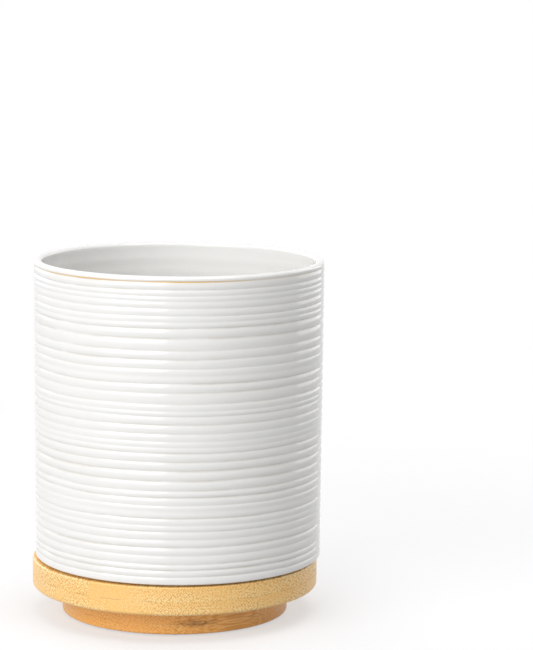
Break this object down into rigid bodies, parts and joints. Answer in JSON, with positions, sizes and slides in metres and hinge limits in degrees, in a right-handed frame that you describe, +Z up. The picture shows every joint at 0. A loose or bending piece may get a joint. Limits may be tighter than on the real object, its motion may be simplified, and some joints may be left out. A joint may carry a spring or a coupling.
{
  "type": "utensil crock",
  "caption": "Round ribbed glazed utensil crock, open at the top, standing in the seat of a bamboo turntable that turns on a smaller bamboo base disc.",
  "frame": {"origin": "on the turntable's axis, on the surface that the rubber feet stand on", "axes": "+Z up along the turntable's axis, -Y towards the pictured front, +X to the right as seen from there"},
  "size_m": [0.1528, 0.152, 0.1875],
  "materials": {
    "white_glaze": "glossy white glaze over stoneware",
    "tray_bamboo": "satin clear lacquer on laminated bamboo",
    "base_bamboo": "satin clear lacquer on laminated bamboo",
    "bearing_aluminium": "turned, matt",
    "plated_steel": "zinc plated",
    "ball_steel": "polished",
    "cage_nylon": "natural nylon",
    "rubber": "matt"
  },
  "bodies": {
    "base": {"base_disc": "base_bamboo", "rubber_foot_1": "rubber", "rubber_foot_2": "rubber", "rubber_foot_3": "rubber", "rubber_foot_4": "rubber", "bearing_hub": "bearing_aluminium", "base_screws": "plated_steel"},
    "turntable": {"turntable_tray": "tray_bamboo", "bearing_ring": "bearing_aluminium", "tray_screws": "plated_steel"},
    "ball_ring": {"bearing_balls": "ball_steel", "ball_cage": "cage_nylon"},
    "crock": {"crock": "white_glaze"}
  },
  "joints": [
    {"name": "turntable_spin", "type": "hinge", "parent": "base", "child": "turntable", "pos_m": [0, 0, 0.01325], "axis": [0, 0, 1], "continuous": true},
    {"name": "ball_ring_orbit", "type": "hinge", "parent": "base", "child": "ball_ring", "pos_m": [0, 0, 0.01325], "axis": [0, 0, 1], "continuous": true},
    {"name": "crock_lift", "type": "slide", "parent": "turntable", "child": "crock", "axis": [0, 0, 1], "range_m": [0, 0.06]}
  ],
  "couplings": [
    {"joint": "ball_ring_orbit", "follows": "turntable_spin", "ratio": 0.54}
  ]
}
